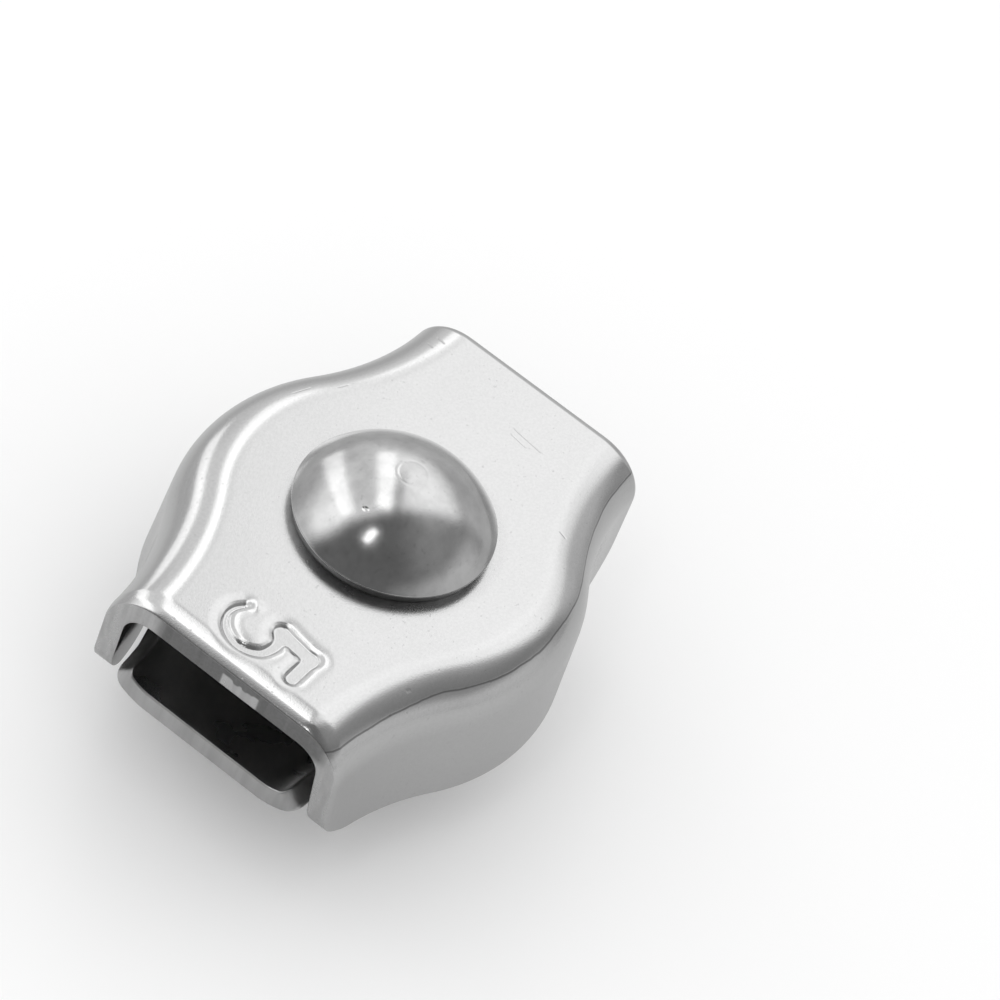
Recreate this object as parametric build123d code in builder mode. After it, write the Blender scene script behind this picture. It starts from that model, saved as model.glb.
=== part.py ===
"""Simplex wire rope clip, 5 mm size: a pressed cover, a pressed saddle, a bolt and a nut.

X runs through the clip's two open mouths, and +Z is its domed side. The origin is on the bolt's axis, halfway
between the two plates.
"""
import os
from math import asin, cos, degrees, radians, sin, tan

from build123d import *

os.makedirs("parts", exist_ok=True)

# Nominal size: the clear height between the two plates
rope_diameter = 5.0

# Cover: a pressed shell with a barrel-shaped plan, open at both ends and underneath
clip_length = 28.6
end_width = 15.9
belly_width = 23.7
belly_radius = 12.7
cover_height = 8.4
cover_sheet = 1.3
cover_bend_radius = 3.0
wall_draft = 3.0
end_rake = 8.0
foot_corner_radius = 2.8

# Saddle: a shallow tray that nests in the cover and is drawn up towards it
saddle_end_recess = 0.1
saddle_sheet = 1.4
saddle_lip_turn = 40.0
saddle_clearance = 0.35

# Bolt: domed head, square neck that stops it turning, M5 shank
thread_diameter = 5.0
thread_play = 0.1
bolt_length = 14.0
bolt_tip_chamfer = 0.5
head_diameter = 11.3
head_seat_diameter = 10.9
head_rim_height = 0.7
head_dome_height = 3.2
neck_width = 5.0
neck_corner_radius = 0.4
neck_play = 0.2
neck_recess = 0.1
shank_clearance = 0.25

# Nut: M5 hexagon
nut_across_flats = 8.0
nut_height = 4.0
nut_crown_angle = 30.0
nut_countersink = 0.4

# Levels that follow from the nominal size between the two plates
ceiling_z = rope_diameter / 2
top_z = ceiling_z + cover_sheet
foot_z = top_z - cover_height
bend_z = top_z - cover_bend_radius
floor_z = -rope_diameter / 2
saddle_bottom_z = floor_z - saddle_sheet
bolt_tip_z = top_z - bolt_length
nut_low_z = saddle_bottom_z - nut_height

# Barrel outline at the cover's foot: one belly arc, and a waist arc each side that runs out to the mouths
half_length = clip_length / 2
bulge = (belly_width - end_width) / 2
arc_span = (half_length**2 + bulge**2) / (2 * bulge)
waist_radius = arc_span - belly_radius
arc_turn = degrees(asin(half_length / arc_span))
belly_centre_y = belly_width / 2 - belly_radius
waist_centre_y = end_width / 2 + waist_radius

cut_over = 2.0


def wall_inset(z):
    """How far the drafted wall has come in at a height above the foot."""
    return tan(radians(wall_draft)) * (z - foot_z)


def barrel_outline(inset, overrun):
    """Edges of the barrel plan, drawn in by an inset, with straight ends that run past the clip's length."""
    end_x = half_length + overrun
    end_y = end_width / 2 - inset
    Line((end_x, end_y), (half_length, end_y))
    CenterArc((half_length, waist_centre_y), waist_radius + inset, 270 - arc_turn, arc_turn)
    CenterArc((0, belly_centre_y), belly_radius - inset, 90 - arc_turn, 2 * arc_turn)
    CenterArc((-half_length, waist_centre_y), waist_radius + inset, 270, arc_turn)
    Line((-half_length, end_y), (-end_x, end_y))
    mirror(about=Plane.XZ)
    Line((end_x, end_y), (end_x, -end_y))
    Line((-end_x, end_y), (-end_x, -end_y))


def barrel_block(start_z, start_inset, end_z, end_inset, overrun, corner=0.0):
    """Block between two barrel plans, with a corner radius along the two long edges of its end face."""
    with BuildPart() as block:
        for z, inset in ((start_z, start_inset), (end_z, end_inset)):
            with BuildSketch(Plane.XY.offset(z)):
                with BuildLine():
                    barrel_outline(inset, overrun)
                make_face()
        loft()
        if corner > 0:
            end_face = block.faces().sort_by_distance((0, 0, end_z))[0]
            fillet(end_face.edges().filter_by(Axis.Y, reverse=True), corner)
    return block.part


# Cover: drafted shell, its end edges raked back and its four lower corners rounded
cover_skin = barrel_block(
    start_z=foot_z,
    start_inset=0,
    end_z=top_z,
    end_inset=wall_inset(top_z),
    overrun=cut_over,
    corner=cover_bend_radius,
)
cover_core = barrel_block(
    start_z=foot_z - cut_over,
    start_inset=cover_sheet + wall_inset(foot_z - cut_over),
    end_z=ceiling_z,
    end_inset=cover_sheet + wall_inset(ceiling_z),
    overrun=2 * cut_over,
    corner=cover_bend_radius - cover_sheet,
)
foot_half_length = half_length - tan(radians(end_rake)) * (bend_z - foot_z)
with BuildPart() as cover:
    add(cover_skin)
    add(cover_core, mode=Mode.SUBTRACT)
    with BuildSketch(Plane.XZ) as cover_side:
        with BuildLine():
            Polyline(
                (half_length, top_z + cut_over),
                (half_length, bend_z),
                (foot_half_length, foot_z),
                (-foot_half_length, foot_z),
                (-half_length, bend_z),
                (-half_length, top_z + cut_over),
                close=True,
            )
        make_face()
        fillet(cover_side.vertices().group_by(Axis.Y)[0], foot_corner_radius)
    extrude(amount=belly_width, both=True, mode=Mode.INTERSECT)
    with BuildSketch(Plane.XY.offset(ceiling_z - cut_over)):
        hole_width = neck_width + neck_play
        RectangleRounded(hole_width, hole_width, neck_corner_radius)
    extrude(amount=cover_sheet + 2 * cut_over, mode=Mode.SUBTRACT)
cover.part.label = "cover"

# Saddle: a plate whose long edges curl up, cut square to the sheet, and drilled for the shank
seat_radius = rope_diameter / 2
curl_radius = seat_radius + saddle_sheet
lip_tip_z = -curl_radius * cos(radians(saddle_lip_turn))
lip_tip_inset = wall_inset(lip_tip_z) + cover_sheet + saddle_clearance
seat_inset = lip_tip_inset + curl_radius * sin(radians(saddle_lip_turn))
saddle_skin = barrel_block(
    start_z=cut_over,
    start_inset=seat_inset - curl_radius,
    end_z=saddle_bottom_z,
    end_inset=seat_inset - curl_radius,
    overrun=cut_over,
    corner=curl_radius,
)
saddle_core = barrel_block(
    start_z=2 * cut_over,
    start_inset=seat_inset - seat_radius,
    end_z=floor_z,
    end_inset=seat_inset - seat_radius,
    overrun=2 * cut_over,
    corner=seat_radius,
)
saddle_length = clip_length - 2 * saddle_end_recess
trim_low_z = saddle_bottom_z - cut_over
saddle_trim = barrel_block(
    start_z=trim_low_z,
    start_inset=seat_inset + tan(radians(saddle_lip_turn)) * trim_low_z,
    end_z=0,
    end_inset=seat_inset,
    overrun=cut_over,
)
with BuildPart() as saddle:
    add(saddle_skin)
    add(saddle_core, mode=Mode.SUBTRACT)
    add(saddle_trim, mode=Mode.INTERSECT)
    with BuildSketch(Plane.XY.offset(trim_low_z)):
        Rectangle(saddle_length, belly_width)
        Circle(thread_diameter / 2 + shank_clearance, mode=Mode.SUBTRACT)
    extrude(amount=-trim_low_z, mode=Mode.INTERSECT)
saddle.part.label = "saddle"

# Bolt: one turned and headed piece, its head undercut below the dome's edge and its neck squared
shank_radius = (thread_diameter - thread_play) / 2
head_radius = head_diameter / 2
rim_z = top_z + head_rim_height
dome_z = rim_z + head_dome_height
dome_radius = (head_radius**2 + head_dome_height**2) / (2 * head_dome_height)
neck_height = cover_sheet - neck_recess
with BuildPart() as bolt:
    with BuildSketch(Plane.XZ):
        with BuildLine():
            Polyline(
                (0, dome_z),
                (0, bolt_tip_z),
                (shank_radius - bolt_tip_chamfer, bolt_tip_z),
                (shank_radius, bolt_tip_z + bolt_tip_chamfer),
                (shank_radius, top_z),
                (head_seat_diameter / 2, top_z),
                (head_radius, rim_z),
            )
            RadiusArc((head_radius, rim_z), (0, dome_z), -dome_radius)
        make_face()
    revolve(axis=Axis.Z)
    with BuildSketch(Plane.XY.offset(top_z - neck_height)):
        RectangleRounded(neck_width, neck_width, neck_corner_radius)
    extrude(amount=neck_height)
bolt.part.label = "bolt"

# Nut: hexagon crowned on both faces, its bore countersunk at both ends
bore_radius = thread_diameter / 2
crown_radius = nut_across_flats / 2
crown_reach = crown_radius * 2 / 3**0.5 + cut_over
crown_drop = (crown_reach - crown_radius) * tan(radians(nut_crown_angle))
with BuildPart() as nut:
    with BuildSketch(Plane.XY.offset(nut_low_z)):
        RegularPolygon(nut_across_flats / 2, side_count=6, major_radius=False)
    extrude(amount=nut_height)
    with BuildSketch(Plane.XZ):
        with BuildLine():
            Polyline(
                (bore_radius + nut_countersink, nut_low_z),
                (crown_radius, nut_low_z),
                (crown_reach, nut_low_z + crown_drop),
                (crown_reach, saddle_bottom_z - crown_drop),
                (crown_radius, saddle_bottom_z),
                (bore_radius + nut_countersink, saddle_bottom_z),
                (bore_radius, saddle_bottom_z - nut_countersink),
                (bore_radius, nut_low_z + nut_countersink),
                close=True,
            )
        make_face()
    revolve(axis=Axis.Z, mode=Mode.INTERSECT)
nut.part.label = "nut"

for piece in (cover, saddle, bolt, nut):
    name = piece.part.label
    export_step(piece.part, f"parts/{name}.step")
    print(name, "volume", round(piece.part.volume, 1), "mm3")
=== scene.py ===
# %% [markdown]
# # A simplex wire rope clip
# Two pressed plates grip between them whatever passes through, and one bolt and nut draw them together.
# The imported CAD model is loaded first. It fixes where every piece sits, so the detailed pieces below are
# built in the same frame, in millimetres, and turned into metres only when their meshes are made.

# %% Load the frame
import math

import bmesh
import bpy
import numpy as np
from mathutils import Matrix, Vector


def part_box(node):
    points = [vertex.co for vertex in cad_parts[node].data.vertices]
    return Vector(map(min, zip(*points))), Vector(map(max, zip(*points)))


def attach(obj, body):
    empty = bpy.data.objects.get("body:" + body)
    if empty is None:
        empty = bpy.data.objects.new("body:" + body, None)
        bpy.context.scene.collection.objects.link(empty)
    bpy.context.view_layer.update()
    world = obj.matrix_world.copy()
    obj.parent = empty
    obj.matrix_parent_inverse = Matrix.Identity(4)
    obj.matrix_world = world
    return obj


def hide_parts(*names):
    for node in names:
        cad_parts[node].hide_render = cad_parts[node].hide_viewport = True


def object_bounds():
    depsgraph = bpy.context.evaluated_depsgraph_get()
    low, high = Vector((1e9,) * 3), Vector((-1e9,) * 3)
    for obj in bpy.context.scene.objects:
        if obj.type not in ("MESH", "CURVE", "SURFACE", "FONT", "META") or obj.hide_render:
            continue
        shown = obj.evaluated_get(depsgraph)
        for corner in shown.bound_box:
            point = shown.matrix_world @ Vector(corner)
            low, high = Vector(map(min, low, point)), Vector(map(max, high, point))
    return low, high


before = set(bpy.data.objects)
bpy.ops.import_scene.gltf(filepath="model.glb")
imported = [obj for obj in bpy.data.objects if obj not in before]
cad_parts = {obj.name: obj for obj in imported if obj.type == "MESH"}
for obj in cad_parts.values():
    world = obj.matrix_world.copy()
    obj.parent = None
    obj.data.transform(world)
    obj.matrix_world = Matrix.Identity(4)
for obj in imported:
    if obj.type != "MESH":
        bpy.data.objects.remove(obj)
cad_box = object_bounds()
MM = 0.001
print("CAD box in mm", [tuple(round(v / MM, 2) for v in corner) for corner in cad_box])

# %% [markdown]
# The plates share one plan: a barrel, made of a belly arc and two waist arcs that run out to the mouths.
# Its sizes come from the CAD boxes where they can, and the rest are written here once.

# %% Sizes and the barrel plan
cover_low, cover_high = (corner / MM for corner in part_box("cover"))
saddle_low, saddle_high = (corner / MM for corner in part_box("saddle"))
bolt_low, bolt_high = (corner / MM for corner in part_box("bolt"))
nut_low, nut_high = (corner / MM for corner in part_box("nut"))

half_length = cover_high.x
belly_half = cover_high.y
end_half = 7.95
belly_radius = 12.7
top_z = cover_high.z
foot_z = cover_low.z

bulge = belly_half - end_half
arc_span = (half_length**2 + bulge**2) / (2 * bulge)
waist_radius = arc_span - belly_radius
arc_turn = math.asin(half_length / arc_span)
belly_centre_y = belly_half - belly_radius
waist_centre_y = end_half + waist_radius


def barrel_y(x, inset):
    """Half width of the barrel plan at x, drawn in by an inset."""
    x = np.abs(x)
    belly = belly_radius - inset
    waist = waist_radius + inset
    on_belly = x < belly * math.sin(arc_turn)
    belly_y = belly_centre_y + np.sqrt(np.maximum(belly**2 - x**2, 0))
    waist_y = waist_centre_y - np.sqrt(np.maximum(waist**2 - (half_length - x) ** 2, 0))
    return np.where(on_belly, belly_y, waist_y)


print("barrel plan: waist radius", round(waist_radius, 2), "turn", round(math.degrees(arc_turn), 1))

# %% [markdown]
# A pressed plate is one sheet with a thickness. Both plates can be drawn the same way: a closed loop runs
# along the outer skin, over the sheared end, back along the inner skin and over the other end. Copies of
# that loop are then carried across the section, from one long edge to the other. Rolled-over edges catch
# the light, so the loop has a round at each corner. On the side where the punch went in, shearing drags the
# skin down over a longer stretch: a gentle slope that ends in a sharp turn.

# %% The loop round a sheet
# Slope of the dragged skin in degrees, at shares of its length.
drag_shares = (0, 0.2, 0.58, 0.64, 0.91, 1)
drag_slopes = (0, 8, 12, 18, 25, 90)


def dragged_edge(steps=26):
    """Shares of the length and of the drop along an edge that shearing has dragged down."""
    along = np.linspace(0, 1, steps + 1)
    slope = np.radians(np.interp(along, drag_shares, drag_slopes))
    slope = (slope[1:] + slope[:-1]) / 2
    reach, fall = np.cumsum(np.cos(slope)), np.cumsum(np.sin(slope))
    return list(zip(reach / reach[-1], fall / fall[-1]))


def end_loop(skin_shares, core_shares, sheet, roll, drop, burr, steps=6):
    """Loop round a sheet, one row for each point.

    A row holds the share of the half length, the round that is taken off there, the length that is put
    back, the depth below the outer skin, and a mark from 0 on a skin to 1 on a sheared face.
    """
    rows = [(share, roll, 0.0, 0.0, 0.0) for share in skin_shares]
    turns = [math.pi / 2 * k / steps for k in range(steps)]
    for side in (1, -1):
        end = [
            (side, roll, side * roll * reach, drop * fall, max(0.0, 3 * fall - 2))
            for reach, fall in dragged_edge()
        ]
        end += [(side, 0.0, 0.0, drop + (sheet - drop - burr) * k, 1.0) for k in (0.25, 0.5, 0.75)]
        end += [
            (side, burr, side * burr * math.cos(a), sheet - burr * (1 - math.sin(a)), 1.0)
            for a in turns
        ]
        if side == 1:
            rows += end + [(share, burr, 0.0, sheet, 0.0) for share in core_shares]
        else:
            rows += end[::-1]
    return np.array(rows)


half_fallen = next(reach for reach, fall in dragged_edge() if fall >= 0.5)
print("a dragged edge has dropped half way at", round(half_fallen, 2), "of its length")

# %% [markdown]
# Blender takes a mesh as a list of points and a list of faces. Neighbouring loops are joined by a row of
# faces, and the first and the last loop are closed. Each point of a plate also carries a mark that says how
# far it lies on a sheared face, because the finish is duller there. The long edges are rounded too: there
# the loops stand closer together and the sheet gets thinner.

# %% Meshes and plates
def add_mesh(name, points, faces):
    """Object from points in millimetres, shaded smooth."""
    mesh = bpy.data.meshes.new(name)
    mesh.from_pydata((np.asarray(points) * MM).tolist(), [], faces)
    mesh.validate()
    mesh.shade_smooth()
    piece = bpy.data.objects.new(name, mesh)
    bpy.context.scene.collection.objects.link(piece)
    return piece


def face_outwards(mesh):
    """Turns the faces of a closed mesh outwards."""
    shell = bmesh.new()
    shell.from_mesh(mesh)
    bmesh.ops.recalc_face_normals(shell, faces=shell.faces)
    shell.to_mesh(mesh)
    shell.free()


def plate(name, loops, sheared):
    """Closed plate from a list of equal loops, capped at both long edges, with its sheared faces marked."""
    count = len(loops[0])
    faces = []
    for row in range(len(loops) - 1):
        for k in range(count):
            a, b = row * count + k, row * count + (k + 1) % count
            faces.append((a, b, b + count, a + count))
    last = (len(loops) - 1) * count
    faces.append(tuple(range(count))[::-1])
    faces.append(tuple(range(last, last + count)))
    piece = add_mesh(name, np.concatenate(loops), faces)
    mark = piece.data.attributes.new("sheared", "FLOAT", "POINT")
    mark.data.foreach_set("value", np.concatenate(sheared).astype(np.float32))
    face_outwards(piece.data)
    return piece


def edge_round(radius, steps=4):
    """Round of a long edge: the way in from the edge, and how much each side of the sheet is thinned."""
    turns = [math.pi / 2 * k / steps for k in range(steps, -1, -1)]
    return [(radius * (1 - math.sin(a)), radius * (1 - math.cos(a))) for a in turns]


def pressed(name, half, middle, loop, loop_points, edge):
    """Plate whose section runs along one half, over the middle and back along the other half."""
    section = [(1, *place) for place in half + middle]
    section += [(-1, *place) for place in half[::-1]]
    loops = [loop_points(kind, value, side, loop, shrink) for side, kind, value, shrink in section]
    sheared = [np.maximum(loop[:, 4], min(1.0, shrink / edge)) for _, _, _, shrink in section]
    return plate(name, loops, sheared)


print("a long edge is rounded in", len(edge_round(1.0)) - 1, "steps")

# %% [markdown]
# Holes are punched last, as in the press. A straight prism of the hole's outline stands through the plate,
# and a Boolean modifier takes it away. The hole for the neck is square with round corners, so that the bolt
# can't turn, and the hole for the shank is round.

# %% Holes and their tools
neck_width = 5.0
neck_corner = 0.4
neck_play = 0.2
neck_tool_reach = 3
shank_hole_radius = 2.75
shank_tool_reach = 1
crisp_angle = math.radians(38)


def prism(name, outline, low, high):
    """Closed straight prism on an outline of x, y points."""
    count = len(outline)
    points = [(x, y, z) for z in (low, high) for x, y in outline]
    faces = [(k, (k + 1) % count, (k + 1) % count + count, k + count) for k in range(count)]
    faces += [tuple(range(count))[::-1], tuple(range(count, 2 * count))]
    return add_mesh(name, points, faces)


def rounded_square(width, corner, steps=6):
    """Outline of a square with round corners, counter-clockwise."""
    reach = width / 2 - corner
    outline = []
    for quarter, (sx, sy) in enumerate(((1, 1), (-1, 1), (-1, -1), (1, -1))):
        for k in range(steps + 1):
            a = math.pi / 2 * (quarter + k / steps)
            outline.append((sx * reach + corner * math.cos(a), sy * reach + corner * math.sin(a)))
    return outline


def circle(radius, steps=64):
    """Outline of a circle, counter-clockwise."""
    turns = np.linspace(0, 2 * math.pi, steps, endpoint=False)
    return [(radius * math.cos(a), radius * math.sin(a)) for a in turns]


def punch(piece, tool):
    """Cuts a hole through a plate with a tool mesh, and removes the tool."""
    cut = piece.modifiers.new("hole", "BOOLEAN")
    cut.operation = "DIFFERENCE"
    cut.solver = "EXACT"
    cut.object = tool
    graph = bpy.context.evaluated_depsgraph_get()
    finished = bpy.data.meshes.new_from_object(piece.evaluated_get(graph))
    piece.modifiers.clear()
    old, piece.data = piece.data, finished
    bpy.data.meshes.remove(old)
    bpy.data.objects.remove(tool)
    finished.shade_smooth()
    finished.set_sharp_from_angle(angle=crisp_angle)


neck_hole = rounded_square(neck_width + neck_play, neck_corner)
neck_tool = prism("neck_tool", neck_hole, top_z - neck_tool_reach, top_z + neck_tool_reach)
shank_low, shank_high = saddle_low.z - shank_tool_reach, saddle_high.z + shank_tool_reach
shank_tool = prism("shank_tool", circle(shank_hole_radius), shank_low, shank_high)
print("hole tools", [tool.name for tool in (neck_tool, shank_tool)])

# %% [markdown]
# The size is stamped into the cover beside the head. A stamp pushes metal down along a stroke and drags the
# skin round it into a shallow dish, so the numeral is worked out as a distance from three strokes, a bar, a
# stem and a bowl, and the skin of the cover sinks by a depth that follows that distance. The strokes are
# deeper towards the mouth, and a small burr stands at the bowl's end.

# %% Strokes of the numeral
# Stroke points: x, y and half width.
bar = [(-12.34, -2.55, 0.45), (-10.66, -2.55, 0.45)]
stem = [(-10.66, -2.55, 0.45), (-10.40, -0.42, 0.50)]
bowl = [
    (-10.50, -0.50, 0.45), (-11.15, -0.70, 0.38), (-11.65, -0.67, 0.35), (-12.20, -0.46, 0.33),
    (-12.60, 0.06, 0.31), (-12.76, 0.73, 0.30), (-12.63, 1.34, 0.28), (-12.31, 1.87, 0.26),
    (-11.88, 2.19, 0.24), (-11.40, 2.33, 0.22), (-10.90, 2.25, 0.21), (-10.50, 2.02, 0.19),
]
corner_blend = 0.3


def smooth_stroke(points, steps=8):
    """Points of a smooth curve through the given ones."""
    knots = np.array([points[0], *points, points[-1]])
    curve = []
    for a, b, c, d in zip(knots, knots[1:], knots[2:], knots[3:]):
        for t in np.linspace(0, 1, steps, endpoint=False):
            curve.append(b + t / 2 * (c - a + t * (2 * a - 5 * b + 4 * c - d + t * (3 * (b - c) + d - a))))
    return [tuple(point) for point in curve] + [tuple(points[-1])]


def stroke_distance(x, y, stroke):
    """Distance outside a stroke whose half width changes from point to point."""
    nearest = np.full(np.shape(x), np.inf)
    for (ax, ay, aw), (bx, by, bw) in zip(stroke, stroke[1:]):
        dx, dy = bx - ax, by - ay
        t = np.clip(((x - ax) * dx + (y - ay) * dy) / (dx * dx + dy * dy), 0, 1)
        gap = np.hypot(x - ax - t * dx, y - ay - t * dy) - (aw + t * (bw - aw))
        nearest = np.minimum(nearest, gap)
    return nearest


def merged(a, b):
    """Smaller of two distances, with the corner between them rounded."""
    overlap = np.maximum(corner_blend - np.abs(a - b), 0) / corner_blend
    return np.minimum(a, b) - overlap**2 * corner_blend / 4


bowl_curve = smooth_stroke(bowl)
print("the bowl's", len(bowl), "points make a curve of", len(bowl_curve))

# %% Depth of the stamp
# Each start and end is a distance from the stroke's edge, less than 0 inside the stroke.
dish_depth, dish_start, dish_end = 0.05, 0.19, 0.75
shoulder_depth, shoulder_start = 0.075, -0.01
wall_start = -0.13
wall_x, wall_depths = (-12.8, -10.2), (0.13, 0.07)
burr_height, burr_reach, burr_place = 0.07, 0.3, (-10.12, 1.5)


def stamp(x, y):
    """Depth of the stamped skin: wall, shoulder and dish, less a burr at the bowl's end."""
    gap = merged(stroke_distance(x, y, bar), stroke_distance(x, y, stem))
    gap = merged(gap, stroke_distance(x, y, bowl_curve))
    wall_depth = np.interp(x, wall_x, wall_depths)
    wall = wall_depth * np.clip((shoulder_start - gap) / (shoulder_start - wall_start), 0, 1)
    shoulder = shoulder_depth * np.clip((dish_start - gap) / (dish_start - shoulder_start), 0, 1)
    dish = dish_depth * np.clip((dish_end - gap) / (dish_end - dish_start), 0, 1) ** 2
    from_burr = np.hypot(x - burr_place[0], y - burr_place[1])
    return wall + shoulder + dish - burr_height * np.exp(-((from_burr / burr_reach) ** 2))


bowl_x, bowl_y, _ = np.array(bowl_curve).T
print("the numeral is sunk by up to", round(float(stamp(bowl_x, bowl_y).max()), 2), "mm")

# %% [markdown]
# The cover is the pressed barrel shell. Its walls lean in a little, so that the press lets go of it, the
# bend along each side has one radius, and the legs are cut back below the bend with a round at the foot.
# Shearing rolled its front end most on the top, and less on the walls and at the rear, and left the sheet
# thicker inside the mouths.

# %% The cover's sizes
cover_sheet = 1.3
bend_radius = 3.0
draft = math.radians(3.0)
rake = math.radians(8.0)
foot_round = 2.8
foot_edge = 0.22
# Sheared ends: reach and drop of the dragged skin, round of the inner edge, and what the lip adds.
end_roll = 1.3
end_drop = 0.38
end_burr = 0.12
end_lip = 0.4
# Share of the half length where the lip starts, and the share over which it grows.
lip_start, lip_run = 0.85, 0.1
# Share of the roll that is left on the walls and at the rear end.
wall_roll = 0.4
rear_roll = 0.4

bend_z = top_z - bend_radius
wall_height = bend_z - foot_z
bend_inset = math.tan(draft) * wall_height + bend_radius / math.cos(draft)
foot_centre_z = foot_z + foot_round
foot_centre_x = half_length - math.tan(rake) * (bend_z - foot_centre_z) - foot_round / math.cos(rake)


def cover_end(z):
    """How far the cover reaches along X at a height."""
    raked = half_length - math.tan(rake) * np.maximum(bend_z - z, 0)
    rounded = foot_centre_x + np.sqrt(np.maximum(foot_round**2 - (z - foot_centre_z) ** 2, 0))
    return np.where(z < foot_z + foot_round * (1 - math.sin(rake)), np.minimum(raked, rounded), raked)


print("the cover's wall is", round(wall_height, 2), "mm high below the bend")


# %% The cover's loops
def cover_loop(kind, value, side, loop, shrink):
    """Points of the loop at one place of the cover's section.

    The value is a share of the width on the top, an angle in the bend and a share of the height on a wall.
    """
    share, off, back, depth, _ = loop.T
    on_top = {"top": 1.0, "bend": math.sin(value) ** 2, "wall": 0.0}[kind]
    rolled = (wall_roll + (1 - wall_roll) * on_top) * np.where(share > 0, rear_roll, 1.0)
    stretch = (cover_sheet - end_drop * rolled) / (cover_sheet - end_drop)
    near_end = np.clip((np.abs(share) - lip_start) / lip_run, 0, 1)
    lip = end_lip * on_top * near_end * depth / cover_sheet
    skin = np.clip(1 - depth / end_drop, 0, 1)
    depth = np.where(depth < end_drop, depth * rolled, cover_sheet - (cover_sheet - depth) * stretch)
    depth = shrink + depth * (cover_sheet - 2 * shrink) / cover_sheet + lip
    if kind == "top":
        z = top_z - depth
    elif kind == "bend":
        z = bend_z + (bend_radius - depth) * math.sin(value)
    else:
        z = foot_z + value * (bend_z + (bend_radius - depth) * math.sin(draft) - foot_z)
    x = share * (cover_end(z) - off * rolled - shrink) + back * rolled
    if kind == "top":
        y = value * barrel_y(x, bend_inset)
        z = z - skin * stamp(x, y)
    elif kind == "bend":
        y = side * barrel_y(x, bend_inset - (bend_radius - depth) * math.cos(value))
    else:
        y = side * barrel_y(x, math.tan(draft) * (z - foot_z) + depth / math.cos(draft))
    return np.stack([x, y, z], 1)


def spaced(*spans):
    """Rising values over spans of (start, end, step), each value once."""
    values = []
    for start, end, step in spans:
        count = max(1, round((end - start) / step))
        values += [start + (end - start) * k / count for k in range(count)]
    return values + [spans[-1][1]]


# The steps are small round the numeral, which takes the front of the top, and wider elsewhere.
stamped_end = -9.2
skin_half = half_length - end_roll
skin_x = spaced((-skin_half, stamped_end, 0.045), (stamped_end, skin_half, 0.28))
core_share = spaced((-1, 1, 0.032))[::-1]
cover_ends = end_loop(np.array(skin_x) / skin_half, core_share, cover_sheet, end_roll, end_drop, end_burr)
wall_share = spaced((0.07, 0.40, 0.03), (0.40, 1.0, 0.075))
bend_turn = spaced((draft, math.pi / 2, 0.075))[1:]
top_share = spaced((-1, -0.74, 0.034), (-0.74, 0.66, 0.0095), (0.66, 1, 0.034))[1:-1]
half_section = [("wall", run / wall_height, shrink) for run, shrink in edge_round(foot_edge)]
half_section += [("wall", share, 0.0) for share in wall_share] + [("bend", a, 0.0) for a in bend_turn]
top_flat = [("top", share, 0.0) for share in top_share[::-1]]
cover = pressed("cover_shell", half_section, top_flat, cover_ends, cover_loop, foot_edge)
punch(cover, neck_tool)
print("cover", len(cover.data.polygons), "faces")

# %% [markdown]
# The saddle is the lower plate. Its floor is flat, and its long edges curl up like a tray's, so its
# section is an arc, a flat and an arc. The same loop and the same barrel plan make it, with a round hole.

# %% The saddle
saddle_sheet = 1.4
saddle_clearance = 0.35
saddle_roll, saddle_drop, saddle_burr = 0.4, 0.25, 0.12
saddle_corner = 0.8
seat_radius = 2.5
lip_turn = math.radians(40)
lip_edge = 0.2
lip_plain = 0.09
saddle_half = saddle_high.x
curl_radius = seat_radius + saddle_sheet
lip_tip_z = -curl_radius * math.cos(lip_turn)
lip_tip_inset = math.tan(draft) * (lip_tip_z - foot_z) + cover_sheet + saddle_clearance
seat_inset = lip_tip_inset + curl_radius * math.sin(lip_turn)


def saddle_loop(kind, value, side, loop, shrink):
    """Points of the loop at one place of the saddle's section. Depth 0 is the underside.

    The value is an angle in a lip and a share of the width on the floor.
    """
    share, off, back, depth, _ = loop.T
    depth = shrink + depth * (saddle_sheet - 2 * shrink) / saddle_sheet
    radius = curl_radius - depth
    reach = np.full(len(loop), saddle_half)
    if kind == "lip":
        from_tip = np.clip((lip_turn - value) * curl_radius, 0, saddle_corner)
        reach -= saddle_corner - math.sqrt(saddle_corner**2 - (saddle_corner - from_tip) ** 2)
    x = share * (reach - off - shrink) + back
    if kind == "lip":
        z = -radius * math.cos(value)
        y = side * barrel_y(x, seat_inset - radius * math.sin(value))
    else:
        z = -radius
        y = value * barrel_y(x, seat_inset)
    return np.stack([x, y, z], 1)


saddle_share = spaced((-1, 1, 0.025))
saddle_ends = end_loop(
    saddle_share, saddle_share[::-1], saddle_sheet, saddle_roll, saddle_drop, saddle_burr
)
half_section = [("lip", lip_turn - run / curl_radius, shrink) for run, shrink in edge_round(lip_edge)]
half_section += [("lip", a, 0.0) for a in spaced((0.0, lip_turn - lip_plain, 0.04))[::-1]]
floor_flat = [("floor", share, 0.0) for share in spaced((-1, 1, 0.05))[1:-1][::-1]]
saddle = pressed("saddle_plate", half_section, floor_flat, saddle_ends, saddle_loop, lip_edge)
punch(saddle, shank_tool)
print("saddle", len(saddle.data.polygons), "faces")

# %% [markdown]
# Steel has no colour of its own here: it is the light that it throws back. What tells the pieces apart is
# how smooth they are. Each finish below is one Principled shader with full metal, whose roughness and small
# relief change over the surface. Sums on sockets are written as plain Python, with a small class that adds
# the Math nodes, and one method adds any other node.

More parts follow.
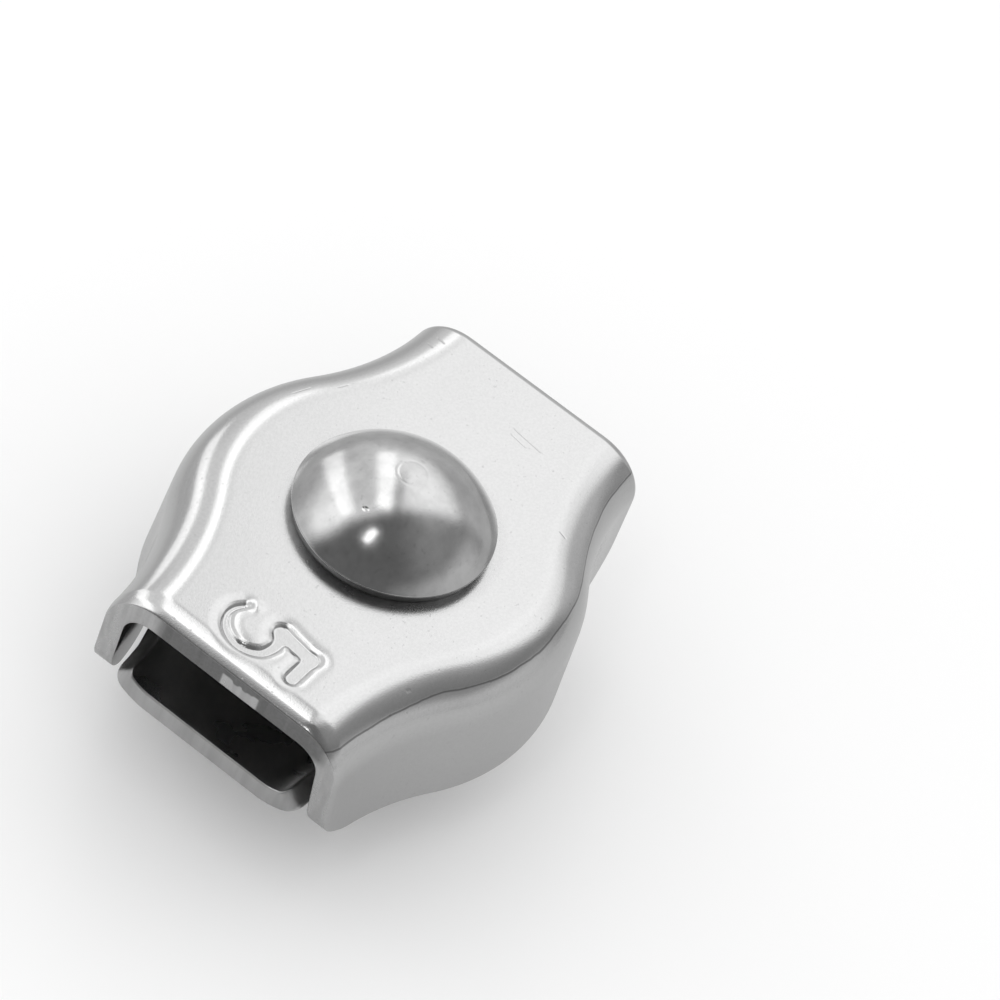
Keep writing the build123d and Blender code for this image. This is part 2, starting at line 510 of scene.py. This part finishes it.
# %% Sums on sockets
class Wire:
    """A node's output that can be used in sums."""

    def __init__(self, nodes, socket):
        self.nodes, self.socket = nodes, socket

    def math(self, operation, *values):
        """Math node on this wire and on other wires or numbers."""
        return self.nodes.node("ShaderNodeMath", {"operation": operation}, dict(enumerate((self, *values))))

    def __add__(self, other):
        return self.math("ADD", other)

    def __sub__(self, other):
        return self.math("SUBTRACT", other)

    def __rsub__(self, other):
        return (self * -1.0) + other

    def __mul__(self, other):
        return self.math("MULTIPLY", other)

    def __truediv__(self, other):
        return self.math("DIVIDE", other)

    __radd__, __rmul__ = __add__, __mul__

    def ramp(self, low, high, start=0.0, end=1.0):
        """Smooth step from start to end as the value goes from low to high."""
        sockets = {0: self, 1: low, 2: high, 3: start, 4: end}
        return self.nodes.node("ShaderNodeMapRange", {"interpolation_type": "SMOOTHSTEP"}, sockets)


class Nodes:
    """A node tree, and the one method that adds any node to it."""

    def __init__(self, tree):
        self.tree = tree

    def feed(self, socket, value):
        """Links a wire to a socket, or sets the socket to a plain value."""
        if isinstance(value, Wire):
            self.tree.links.new(value.socket, socket)
        else:
            socket.default_value = value

    def node(self, kind, settings=None, sockets=None, output=0):
        """Adds a node, sets it up, feeds its sockets and returns one of its outputs."""
        made = self.tree.nodes.new(kind)
        for key, value in (settings or {}).items():
            setattr(made, key, value)
        for key, value in (sockets or {}).items():
            self.feed(made.inputs[key], value)
        return Wire(self, made.outputs[output])


print("wires take the operators + - * /")


# %% Finishes
class Finish(Nodes):
    """A material with one Principled shader."""

    def __init__(self, name):
        self.material = bpy.data.materials.new(name)
        self.material.use_nodes = True
        super().__init__(self.material.node_tree)
        self.shader = self.tree.nodes["Principled BSDF"]

    def set(self, socket, value):
        """Feeds a socket of the shader."""
        self.feed(self.shader.inputs[socket], value)

    def vector(self, operation, *values, output="Vector"):
        """Vector Math node on wires or plain vectors."""
        return self.node("ShaderNodeVectorMath", {"operation": operation}, dict(enumerate(values)), output)

    def place(self, scale=(1, 1, 1)):
        """Object coordinates in millimetres, with each axis scaled."""
        coordinates = self.node("ShaderNodeTexCoord", output="Object")
        sockets = {"Vector": coordinates, "Scale": [s / MM for s in scale]}
        return self.node("ShaderNodeMapping", None, sockets)

    def coordinate(self, axis):
        """One object coordinate in millimetres: axis 0 is X, 1 is Y and 2 is Z."""
        return self.node("ShaderNodeSeparateXYZ", None, {0: self.place()}, axis)

    def mark(self, name):
        """An attribute that the mesh carries."""
        return self.node("ShaderNodeAttribute", {"attribute_name": name}, None, "Fac")

    def noise(self, size, detail=2.0, scale=(1, 1, 1)):
        """Noise from 0 to 1 with features of about a size in millimetres."""
        sockets = {"Vector": self.place(scale), "Scale": 1 / size, "Detail": detail}
        return self.node("ShaderNodeTexNoise", None, sockets)

    def away(self, point, scale=(1, 1, 1)):
        """Distance from a point, in millimetres, with each axis scaled."""
        spread = self.vector("MULTIPLY", self.vector("SUBTRACT", self.place(), point), scale)
        return self.vector("LENGTH", spread, output="Value")

    def grey(self, amount, start, end):
        """Grey that goes from one level to another."""
        sockets = {0: amount, 6: (start, start, start, 1), 7: (end, end, end, 1)}
        return self.node("ShaderNodeMix", {"data_type": "RGBA"}, sockets, 2)

    def relief(self, height, depth):
        """Normal from a height between 0 and 1 and its depth in millimetres."""
        sockets = {"Height": height, "Distance": depth * MM, "Strength": 1.0}
        return self.node("ShaderNodeBump", None, sockets)


def steel(name):
    """Finish of bare metal."""
    finish = Finish(name)
    finish.set("Metallic", 1.0)
    return finish


cover_finish = steel("cover_satin_steel")
bolt_finish = steel("bolt_polished_steel")
nut_finish = steel("nut_turned_steel")
saddle_finish = steel("saddle_satin_steel")
steels = (cover_finish, saddle_finish, bolt_finish, nut_finish)
print("finishes", [finish.material.name for finish in steels])

# %% [markdown]
# The cover has been tumbled and polished: a fine satin grain, tiny pits, and a few scratches from handling.
# The grain and the pits are noise at several sizes. The scratches are listed one by one, each a thin line
# in plan.

# %% Grain, pits and scratches of the cover
# Scratches in plan: start, end and half width.
scratches = (
    ((10.58, -0.61), (10.28, -3.11), 0.06),
    ((10.13, -0.81), (9.93, -2.21), 0.05),
    ((12.9, 6.1), (12.6, 5.4), 0.08),
    ((12.2, 6.3), (11.9, 5.7), 0.06),
    ((6.0, 7.3), (5.3, 7.6), 0.07),
    ((4.3, 8.6), (3.1, 9.1), 0.06),
    ((-8.34, -7.17), (-8.04, -7.27), 0.15),
    ((6.58, -6.71), (6.48, -7.31), 0.09),
)
scratch_full = 0.7


def scratch(finish, start, end, width):
    """Mask of a thin straight scratch in plan, from 1 in it to 0 outside it."""
    dx, dy = end[0] - start[0], end[1] - start[1]
    length = math.hypot(dx, dy)
    middle = ((start[0] + end[0]) / 2, (start[1] + end[1]) / 2, 0)
    centre = finish.vector("SUBTRACT", finish.place(), middle)
    run = finish.vector("DOT_PRODUCT", centre, (dx / length, dy / length, 0), output="Value")
    across = finish.vector("DOT_PRODUCT", centre, (-dy / length, dx / length, 0), output="Value")
    inside = run.math("ABSOLUTE").ramp(length / 2, length / 2 * scratch_full)
    return across.math("ABSOLUTE").ramp(width, 0.0) * inside


cloud = cover_finish.noise(6.0, 3.0)
wave = cover_finish.noise(5.0, 1.0)
grain = cover_finish.noise(0.16, 2.0)
fine = cover_finish.noise(0.07, 2.0)
pit = cover_finish.noise(0.22, 1.0).ramp(0.70, 0.78)
marks = scratch(cover_finish, *scratches[0])
for line in scratches[1:]:
    marks = marks.math("MAXIMUM", scratch(cover_finish, *line))
print(len(scratches), "scratches")

# %% [markdown]
# The sheared ends are duller, with streaks along the direction of the cut. Above the mouths the cut metal
# is torn and rougher, and painted dark as a reflection of the ropes, which are not built, apart from one
# patch with a ragged top, which shearing has burnished bright and the painted shade leaves out.

# %% Sheared ends of the cover
cover_x, cover_y, cover_z = (cover_finish.coordinate(axis) for axis in range(3))
sheared = cover_finish.mark("sheared")
streak_stretch = (1.0, 1.0, 0.12)
streak = cover_finish.noise(0.5, 2.0, streak_stretch)

patch_y, patch_half, patch_top, patch_soft = -0.85, 1.25, 3.0, 0.15
ragged = streak.ramp(0.35, 0.65, -0.1, 0.1)
burnished = (cover_y - patch_y).math("ABSOLUTE").ramp(patch_half, patch_half - patch_soft)
burnished = burnished * (cover_z + ragged).ramp(patch_top, patch_top - patch_soft)

# Painted reflection: the top of the sheared faces above the mouths is darkened in the colour where the
# ropes would be mirrored, and the burnished patch is left out.
torn_shade_y, torn_shade_half, torn_shade_soft = -1.0, 6.0, 1.0
torn_shade_low, torn_shade_full = 1.5, 2.2
torn_and_painted_rope_shade = sheared.ramp(0.2, 0.9) * cover_z.ramp(torn_shade_low, torn_shade_full)
torn_and_painted_rope_shade = torn_and_painted_rope_shade * (cover_y - torn_shade_y).math("ABSOLUTE").ramp(torn_shade_half, torn_shade_half - torn_shade_soft)
torn_and_painted_rope_shade = torn_and_painted_rope_shade * (1.0 - burnished) * streak.ramp(0.3, 0.7, 1.0, 0.7)
print("burnished patch", 2 * patch_half, "mm wide")

# %% [markdown]
# A thin dark line of painted shade runs along the right-hand bend, over a slight groove in the relief, with
# a grey smear of painted shade above it. It climbs from the rear towards the belly, sinks a little towards
# the front, and wavers by a hair.

# %% Painted dark line and crease along the cover's right bend
crease_base = 2.77
front_rise, belly_rise = 0.15, 0.3
climb_start, climb_end = 7.0, 1.0
sink_start, sink_end = -6.0, -11.0
right_start, right_full = -4.0, -5.0
crease_half, crease_full = 0.055, 0.015
painted_smear_height = 0.5
waver = cover_finish.noise(1.6, 2.0).ramp(0.3, 0.7, -0.025, 0.025)
rise = cover_x.ramp(climb_start, climb_end) * cover_x.ramp(sink_end, sink_start, front_rise, belly_rise)
above_crease = cover_z - (crease_base + rise) + waver
right_bend = cover_y.ramp(right_start, right_full) * (1.0 - sheared)
# Painted shade: the dark line and the grey smear above it darken the colour, and the line also cuts a
# slight groove in the relief.
crease_and_painted_line = above_crease.math("ABSOLUTE").ramp(crease_half, crease_full) * right_bend
painted_smear = above_crease.ramp(painted_smear_height, 0.02) * above_crease.ramp(-0.03, 0.03) * right_bend
print("crease_and_painted_line", crease_base, "to", round(crease_base + belly_rise, 2), "mm up")

# %% [markdown]
# These masks are now added up. Roughness says how sharply the steel mirrors, tone darkens it, and height
# gives the relief. Close round the head, which is hard to polish, the plate is a little rougher.

# %% Cover steel
cover_light, cover_dark = 0.60, 0.17
cover_relief = 0.02
ring_outer, ring_inner = 6.6, 6.1
head_ring = cover_finish.away((0, 0, top_z), (1, 1, 0)).ramp(ring_outer, ring_inner)
worn = cloud.ramp(0.3, 0.7, 0.12, 0.17) + fine.ramp(0.35, 0.65, -0.01, 0.03)
dull = sheared * streak.ramp(0.35, 0.65, 0.12, 0.28)
tone = sheared * streak.ramp(0.4, 0.6, 0.0, 0.12) + grain.ramp(0.35, 0.65, 0.0, 0.05)
# The tone also carries painted shade: the rope reflection on the sheared ends, and the dark line and smear
# along the right bend.
tone = tone + pit * 0.15 + torn_and_painted_rope_shade * 0.9 + crease_and_painted_line * 0.6 + painted_smear * 0.3
height = 1.0 - marks * 0.6 - crease_and_painted_line * 0.3 - pit * 0.1 + fine * 0.16 + sheared * streak * 0.8 + wave * 1.2
cover_finish.set("Roughness", worn + dull + pit * 0.1 + torn_and_painted_rope_shade * 0.1 + head_ring * 0.1)
cover_finish.set("Base Color", cover_finish.grey(tone, cover_light, cover_dark))
cover_finish.set("Normal", cover_finish.relief(height, cover_relief))
print("cover steel has", len(cover_finish.tree.nodes), "nodes")

# %% [markdown]
# The bolt's head is polished brighter than the plate, so it shows the room sharply. It has a small nick and
# a faint ring near its top. Below the dome's edge its side is dull, and painted dark as the shade in the
# gap under the rim.

# %% Bolt steel
dome_top = bolt_high.z
rim_height = 0.7
rim_z = top_z + rim_height
bolt_light, bolt_dark = 0.58, 0.06
bolt_relief = 0.025
nick_place, nick_reach = (-3.08, 0.52, 6.91), 0.26
ring_place, ring_radius, ring_width = (0.2, 0, dome_top), 0.85, 0.14

cloud = bolt_finish.noise(2.4, 3.0)
blotch = bolt_finish.noise(0.7, 3.0)
speck = bolt_finish.noise(0.3, 1.0)
fine = bolt_finish.noise(0.06, 2.0)
level = bolt_finish.coordinate(2)
nick = bolt_finish.away(nick_place, (1.6, 1, 1)).ramp(nick_reach, 0.05)
ring = (bolt_finish.away(ring_place, (1, 1, 0)) - ring_radius).math("ABSOLUTE").ramp(ring_width, 0.0)
# Painted shade: the side below the dome's edge is darkened in the colour as the shade under the rim, and it
# is made rougher.
dull_side_painted_shade = level.ramp(rim_z - 0.02, rim_z - 0.1) * level.ramp(top_z - 0.1, top_z - 0.05)
worn = cloud.ramp(0.3, 0.7, 0.09, 0.14) + fine.ramp(0.4, 0.7, 0.0, 0.03)
tone = cloud.ramp(0.35, 0.7, 0.0, 0.12) + blotch.ramp(0.35, 0.7, 0.0, 0.1) + speck.ramp(0.66, 0.75) * 0.08
bolt_finish.set("Roughness", worn + dull_side_painted_shade * 0.2)
bolt_finish.set("Base Color", bolt_finish.grey(tone + dull_side_painted_shade * 0.62, bolt_light, bolt_dark))
bolt_finish.set("Normal", bolt_finish.relief(fine * 0.12 - nick - ring * 0.2 + cloud * 0.15, bolt_relief))
print("bolt steel has", len(bolt_finish.tree.nodes), "nodes")

# %% [markdown]
# The nut and the saddle are left as they came from their machines: the nut with fine turning lines round
# its axis, the saddle with a satin skin and streaked ends.

# %% Nut and saddle steel
lathe = nut_finish.noise(0.12, 2.0, (0.05, 0.05, 1.0))
cloud = nut_finish.noise(1.6, 3.0)
nut_finish.set("Roughness", cloud.ramp(0.3, 0.7, 0.2, 0.3) + lathe * 0.08)
nut_finish.set("Base Color", nut_finish.grey(cloud, 0.6, 0.5))
nut_finish.set("Normal", nut_finish.relief(lathe + cloud * 0.4, 0.012))

cloud = saddle_finish.noise(4.0, 3.0)
fine = saddle_finish.noise(0.08, 2.0)
sheared = saddle_finish.mark("sheared")
streak = saddle_finish.noise(0.5, 2.0, streak_stretch)
dull = sheared * streak.ramp(0.35, 0.65, 0.05, 0.2)
saddle_finish.set("Roughness", cloud.ramp(0.3, 0.7, 0.24, 0.34) + dull)
saddle_finish.set("Base Color", saddle_finish.grey(sheared * streak + cloud * 0.3, 0.6, 0.46))
saddle_finish.set("Normal", saddle_finish.relief(fine * 0.3 + sheared * streak, 0.02))
node_counts = [len(finish.tree.nodes) for finish in (nut_finish, saddle_finish)]
print("nut and saddle steel have", node_counts, "nodes")

# %% [markdown]
# The thread repeats one groove along a helix, which is a rule, so Geometry Nodes make it. A flat grid is
# rolled into a tube, and each point's radius follows its place within the pitch. The last row closes on the
# axis, and a cone cuts the crests back at the tip. The same sums on sockets write its tree.

# %% The thread
neck_height = 1.2
thread_top = top_z - neck_height
thread_sizes = {
    "Crest Radius": 2.45,
    "Depth": 0.46,
    "Pitch": 0.8,
    "Tip": 0.5,
    "Top": thread_top,
    "Length": thread_top - bolt_low.z,
}
flank_start, flank_end = 0.1, 0.85


def thread_tree(sizes, material):
    """Geometry Nodes tree for an outside thread that hangs down from a height."""
    tree = bpy.data.node_groups.new("rolled_thread", "GeometryNodeTree")
    for label, size in sizes.items():
        socket = tree.interface.new_socket(label, in_out="INPUT", socket_type="NodeSocketFloat")
        socket.default_value = size
    tree.interface.new_socket("Geometry", in_out="OUTPUT", socket_type="NodeSocketGeometry")
    nodes = Nodes(tree)
    sockets = tree.nodes.new("NodeGroupInput").outputs
    crest, depth, pitch, tip, top, length = (Wire(nodes, sockets[label]) for label in sizes)

    grid_sizes = {"Size X": 1.0, "Size Y": 1.0, "Vertices X": 73, "Vertices Y": 230}
    sheet = nodes.node("GeometryNodeMeshGrid", None, grid_sizes)
    position = nodes.node("GeometryNodeInputPosition")
    around = nodes.node("ShaderNodeSeparateXYZ", None, {0: position}, 0) + 0.5
    along = nodes.node("ShaderNodeSeparateXYZ", None, {0: position}, 1) + 0.5
    height = top - along * length
    turns = height / pitch - around
    wave = (turns.math("FRACT") * 2.0 - 1.0).math("ABSOLUTE")
    groove = crest - wave.ramp(flank_start, flank_end) * depth
    cone = crest - tip + (1.0 - along) * length
    before_last = along.math("LESS_THAN", 0.9999)
    radius = groove.math("MINIMUM", cone) * before_last
    angle = around * (2 * math.pi)
    place = {0: radius * angle.math("COSINE"), 1: radius * angle.math("SINE"), 2: height}
    rolled = nodes.node("ShaderNodeCombineXYZ", None, place)
    tube = nodes.node("GeometryNodeSetPosition", None, {"Geometry": sheet, "Position": rolled})
    tube = nodes.node("GeometryNodeMergeByDistance", None, {"Geometry": tube, "Distance": 0.002})
    whole = nodes.node("GeometryNodeRealizeInstances", None, {"Geometry": tube})
    dressed = nodes.node("GeometryNodeSetMaterial", None, {"Geometry": whole, "Material": material})
    nodes.feed(tree.nodes.new("NodeGroupOutput").inputs[0], dressed)
    return tree


def thread_mesh(name, tree, sizes):
    """Plain mesh of a thread in millimetres, with the tree's inputs set by their identifiers."""
    holder = bpy.data.objects.new(name, bpy.data.meshes.new(name))
    bpy.context.scene.collection.objects.link(holder)
    modifier = holder.modifiers.new(name, "NODES")
    modifier.node_group = tree
    for item in tree.interface.items_tree:
        if item.in_out == "INPUT":
            modifier[item.identifier] = sizes[item.name]
    graph = bpy.context.evaluated_depsgraph_get()
    mesh = bpy.data.meshes.new_from_object(holder.evaluated_get(graph))
    bpy.data.objects.remove(holder)
    return mesh


thread = thread_mesh("bolt_thread", thread_tree(thread_sizes, bolt_finish.material), thread_sizes)
thread.transform(Matrix.Scale(MM, 4))
print("thread", len(thread.polygons), "faces")

# %% [markdown]
# The bolt is a turned head, a square neck and the rolled thread. A profile turned round the axis gives the
# head, undercut below the dome's edge, where a thin shadow shows on the plate.

# %% The bolt
head_radius = bolt_high.x
head_seat_radius = 5.45
hub_radius = 2.0
dome_steps = 60
head_segments = 128
# Points of the head's edge: how far inside its radius, and how far above its rim.
rim_round = ((0.045, 0.075), (0.012, 0.03), (0.006, -0.02), (0.03, -0.08))
# Points of the head's side: how far outside its seat's radius, and how far above the plate.
seat_round = ((0.09, 0.3), (0.01, 0.06), (-0.04, 0.0))


def turned(profile, segments):
    """Points and faces of a closed profile turned round Z. The profile starts and ends on the axis."""
    points = [(0, 0, profile[0][1])]
    for radius, z in profile[1:-1]:
        for k in range(segments):
            a = 2 * math.pi * k / segments
            points.append((radius * math.cos(a), radius * math.sin(a), z))
    points.append((0, 0, profile[-1][1]))
    faces = []
    rings = len(profile) - 2
    for k in range(segments):
        nxt = (k + 1) % segments
        faces.append((0, 1 + k, 1 + nxt))
        for ring_index in range(rings - 1):
            a = 1 + ring_index * segments
            faces.append((a + k, a + segments + k, a + segments + nxt, a + nxt))
        base = 1 + (rings - 1) * segments
        faces.append((base + k, len(points) - 1, base + nxt))
    return points, faces


dome_height = dome_top - rim_z
dome_radius = (head_radius**2 + dome_height**2) / (2 * dome_height)
dome_centre = dome_top - dome_radius
edge_angle = math.asin(head_radius / dome_radius)
dome_turns = [edge_angle * k / dome_steps for k in range(1, dome_steps - 1)]
profile = [(0, dome_top)]
profile += [(dome_radius * math.sin(a), dome_centre + dome_radius * math.cos(a)) for a in dome_turns]
profile += [(head_radius - inside, rim_z + above) for inside, above in rim_round]
profile += [(head_seat_radius + outside, top_z + above) for outside, above in seat_round]
profile += [(hub_radius, top_z), (0, top_z)]
bolt = add_mesh("bolt_head", *turned(profile, head_segments))
neck = prism("bolt_neck", rounded_square(neck_width, neck_corner), top_z - neck_height, top_z)
joined = bmesh.new()
for mesh in (bolt.data, neck.data, thread):
    joined.from_mesh(mesh)
bmesh.ops.recalc_face_normals(joined, faces=joined.faces)
joined.to_mesh(bolt.data)
joined.free()
bpy.data.objects.remove(neck)
bolt.data.shade_smooth()
bolt.data.set_sharp_from_angle(angle=math.radians(50))
print("bolt", len(bolt.data.polygons), "faces")

# %% [markdown]
# The nut is a hexagon whose corners are cut back by a cone on both faces. Rings of points are taken round
# the hexagon, and each ring's height follows the cone, which gives the curved crown line on every flat.

# %% The nut
half_flats = nut_high.y
corner_limit = half_flats * 1.135
crown_slope = math.tan(math.radians(30))
crown_start = half_flats - 0.12
waist_depth = 1.6
ring_count = 180
# Rings of the countersunk bore and the face round it: radius, and depth below the face.
bore_rings = ((2.5, 0.45), (2.55, 0.38), (2.88, 0.03), (2.95, 0.0), (3.4, 0.0))
angles = [math.pi / 2 + 2 * math.pi * k / ring_count for k in range(ring_count)]


def hexagon(angle):
    """Distance from the axis to the hexagon's side at an angle, no further than its blunted corner."""
    turn = angle % (math.pi / 3) - math.pi / 6
    return min(half_flats / math.cos(turn), corner_limit)


def plain_ring(radius, z):
    """Level round ring."""
    return [(radius * math.cos(a), radius * math.sin(a), z) for a in angles]


def crown_ring(share, face_z, inward):
    """Ring on the crown's cone, a share of the way from the face's rim to the hexagon."""
    ring_points = []
    for a in angles:
        radius = crown_start + share * (hexagon(a) - crown_start)
        drop = max(0.0, radius - crown_start) * crown_slope
        ring_points.append((radius * math.cos(a), radius * math.sin(a), face_z + inward * drop))
    return ring_points


def nut_half(face_z, inward):
    """Rings of half the nut, from inside the bore, out over the face and down to the waist."""
    half = [plain_ring(radius, face_z + inward * depth) for radius, depth in bore_rings]
    half += [crown_ring(share, face_z, inward) for share in (0.0, 0.5, 1.0)]
    return half + [[(x, y, face_z + inward * waist_depth) for x, y, _ in half[-1]]]


rings = nut_half(nut_low.z, 1) + nut_half(nut_high.z, -1)[::-1]
faces = []
for r in range(len(rings)):
    here, there = r * ring_count, (r + 1) % len(rings) * ring_count
    for k in range(ring_count):
        nxt = (k + 1) % ring_count
        faces.append((here + k, here + nxt, there + nxt, there + k))
nut = add_mesh("hex_nut", np.concatenate(rings), faces)
face_outwards(nut.data)
nut.data.set_sharp_from_angle(angle=math.radians(22))
print("nut", len(nut.data.polygons), "faces")

# %% [markdown]
# Every piece now gets its finish and rides on its CAD body, and its CAD node is hidden.

# %% Tie the pieces to the frame
for piece, finish, body, node in (
    (cover, cover_finish, "clip", "cover"),
    (bolt, bolt_finish, "clip", "bolt"),
    (saddle, saddle_finish, "saddle", "saddle"),
    (nut, nut_finish, "nut", "nut"),
):
    piece.data.materials.clear()
    piece.data.materials.append(finish.material)
    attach(piece, body)
    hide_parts(node)
    print(piece.name, "rides on", body, [round(v / MM, 2) for v in piece.dimensions])

# %% [markdown]
# Polished steel shows what stands round it, so the room matters as much as the metal. A white floor and a
# white world light the clip evenly.

# %% Floor and world
floor_gap = 0.05
floor_half = 1500
floor_shade = 0.94
floor_z = cad_box[0].z / MM - floor_gap


def matt(name):
    """Finish without gloss, for the stage."""
    finish = Finish(name)
    finish.set("Roughness", 0.9)
    finish.set("Specular IOR Level", 0.0)
    return finish


def board(name, half_width, z, finish):
    """Square board that lies level."""
    corners = [(-half_width, -half_width, z), (half_width, -half_width, z), (half_width, half_width, z)]
    made = add_mesh(name, corners + [(-half_width, half_width, z)], [(0, 1, 2, 3)])
    made.data.materials.append(finish.material)
    return made


floor_finish = matt("floor_white")
floor_finish.set("Base Color", (floor_shade, floor_shade, floor_shade, 1))
board("floor", floor_half, floor_z, floor_finish)

world = bpy.data.worlds.new("white_room")
world.use_nodes = True
world.node_tree.nodes["Background"].inputs["Color"].default_value = (1, 1, 1, 1)
world.node_tree.nodes["Background"].inputs["Strength"].default_value = 1.0
bpy.context.scene.world = world
print("floor at", round(floor_z, 2), "mm")

# %% [markdown]
# For its reflections the clip stands in a tent, as shiny things do in a studio: bright cloth behind it and
# to its left, dark cloth at the front, and a pale grey table. Only reflections see the tent and the table,
# so they cast no shadow. The tent is the upper half of a sphere, so a place on its cloth is a direction.

# %% The tent
tent_radius = 600
tent_foot = -1


def toward(azimuth, elevation, distance=1.0):
    """Point in a direction from the object, in degrees and millimetres."""
    a, e = math.radians(azimuth), math.radians(elevation)
    return Vector((math.cos(a) * math.cos(e), math.sin(a) * math.cos(e), math.sin(e))) * distance


def only_in_reflections(stage_piece):
    """Hides a piece of the stage from everything but glossy rays."""
    stage_piece.visible_camera = stage_piece.visible_diffuse = stage_piece.visible_shadow = False
    stage_piece.visible_transmission = stage_piece.visible_volume_scatter = False
    return stage_piece


def dome_mesh(name, radius, low_elevation, columns=48, rows=16):
    """Upper part of a sphere round the object, from an elevation to the top."""
    points = []
    for j in range(rows + 1):
        elevation = low_elevation + (90 - low_elevation) * j / rows
        points += [toward(360 * i / columns, elevation, radius) for i in range(columns)]
    faces = []
    for j in range(rows):
        for i in range(columns):
            a, b = j * columns + i, j * columns + (i + 1) % columns
            faces.append((a, a + columns, b + columns, b))
    return add_mesh(name, points, faces)


tent = only_in_reflections(dome_mesh("tent", tent_radius, tent_foot))
print("tent", len(tent.data.polygons), "faces")

# %% [markdown]
# The cloth's glow is a sum of masks, each a smooth step of the angle to some direction. Behind and high up
# it is bright. Soft patches then lighten or darken it where a face of the clip mirrors that part of the
# room, and a seam and a gap between the lamps make darker bands.

# %% The tent's cloth
tent_peak = 1.8
# Soft patches: direction, angles from it at which the patch starts and is full, and strength.
patches = {
    "window": ((20, 46), 24, 4, 0.28),
    "overhead": ((84, 78), 11, 4, 0.45),
    "left glow": ((125, 30), 24, 8, 0.3),
    "right side": ((-60, 35), 60, 18.2, 0.16),
    "right shoulder": ((-28, 57), 26, 4, 0.16),
    "rear right": ((-20, 15), 30, 10, -0.14),
    "low left": ((84, 3), 24, 6, -0.2),
    "glow round the small lamp": ((175, 57), 13, 3, 0.2),
}
cloth = Finish("tent_cloth")
direction = cloth.vector("NORMALIZE", cloth.place())


def facing(azimuth, elevation):
    """Cosine of the angle between the cloth's direction and a given one."""
    return cloth.vector("DOT_PRODUCT", direction, toward(azimuth, elevation), output="Value")


def cosine(degrees):
    """Cosine of an angle in degrees."""
    return math.cos(math.radians(degrees))


upward = facing(0, 90)
behind = facing(50, 5).ramp(-0.05, 0.22)
raised = facing(141, 60).ramp(-0.12, 0.12) * upward.ramp(0.05, 0.5, 0.25, 1.0)
seam = facing(118, 0).math("ABSOLUTE").ramp(0.09, 0.03) * upward.ramp(0.5, 0.9)
seam = seam * facing(28, 58).ramp(0.75, 0.92)
lamp_gap = facing(-47, 25).math("ABSOLUTE").ramp(0.24, 0.09) * facing(75, 42).ramp(cosine(42), cosine(28))
low_right = facing(-88, 0).ramp(cosine(60), cosine(25)) * upward.ramp(cosine(60), cosine(78))
glow = behind * (raised * 0.47 + 0.48) - seam * 0.5 - lamp_gap * 0.2 + low_right * 0.35 + 0.18
for middle, start, full, strength in patches.values():
    glow = glow + facing(*middle).ramp(cosine(start), cosine(full)) * strength
cloth.set("Base Color", (0, 0, 0, 1))
cloth.set("Specular IOR Level", 0.0)
cloth.set("Emission Color", cloth.grey(glow / tent_peak, 0.0, 1.0))
cloth.set("Emission Strength", tent_peak)
cloth.material.cycles.emission_sampling = "NONE"
tent.data.materials.append(cloth.material)
print("tent cloth with", len(patches), "patches")

# %% [markdown]
# In reflections a table stands for the floor. It is pale grey, with painted shade that darkens it far
# behind the clip.

# %% The table
table_half = 560
table = matt("table_grey")
table_front = (-0.6, -0.8, 0)
front = table.vector("DOT_PRODUCT", table.vector("NORMALIZE", table.place()), table_front, output="Value")
front = front.ramp(-0.7, 0.7)
close = table.away((0, 0, floor_z)).ramp(70, 18)
# Painted light and shade: the table's grey changes with direction and with distance from the clip.
table.set("Base Color", table.grey(0.52 + front * 0.12 + close * (0.14 - front * 0.16), 0.0, 1.0))
only_in_reflections(board("table", table_half, floor_z + floor_gap, table))
print("table", 2 * table_half, "mm wide")

# %% [markdown]
# Two long soft lamps draw the bars on the dome and along the left bend, and a small one draws the bright
# spot. Each is an area lamp that lies between two directions and faces the clip.

# %% Lamps
lamp_distance = 450


def soft_light(name, ends, width, power):
    """Long soft lamp between two directions, facing the object."""
    start, end = (toward(*spot, lamp_distance) for spot in ends)
    lamp = bpy.data.lights.new(name, "AREA")
    lamp.shape = "RECTANGLE"
    lamp.size, lamp.size_y = (end - start).length * MM, width * MM
    lamp.energy = power
    holder = bpy.data.objects.new(name, lamp)
    bpy.context.scene.collection.objects.link(holder)
    middle = (start + end) / 2
    back = middle.normalized()
    run = (end - start).normalized()
    run = (run - back * run.dot(back)).normalized()
    turn = Matrix((run, back.cross(run), back)).transposed()
    holder.matrix_world = Matrix.Translation(middle * MM) @ turn.to_4x4()
    print(name, [round(v) for v in middle], "mm,", power, "W")


soft_light("long_light_left", ((59, 2), (128, 50)), 82, 0.096)
soft_light("long_light_right", ((38, 23), (118, 80)), 85, 0.075)
soft_light("small_lamp", ((170, 57), (180, 57)), 105, 0.048)

# %% [markdown]
# The camera stands where the photograph's stood, found by fitting the barrel's outline, and looks at the
# clip from above its front mouth, rolled a little.

# %% Camera
right = Vector((0.55335, -0.78499, 0.27855))
up = Vector((0.51893, 0.58647, 0.62191))
back = Vector((-0.65155, -0.19958, 0.73188))
stand = Vector((-152.393, -51.680, 181.479))
focal_pixels = 4529.3
photo_pixels = 1000
lens = bpy.data.cameras.new("camera")
lens.sensor_fit = "HORIZONTAL"
lens.sensor_width = 36.0
lens.lens = lens.sensor_width * focal_pixels / photo_pixels
lens.clip_start, lens.clip_end = 0.01, 10
camera = bpy.data.objects.new("camera", lens)
bpy.context.scene.collection.objects.link(camera)
turn = Matrix((right, up, back)).transposed()
camera.matrix_world = Matrix.Translation(stand * MM) @ turn.to_4x4()
bpy.context.scene.camera = camera
bpy.context.scene.view_settings.view_transform = "Standard"
print("lens", round(lens.lens, 1), "mm")
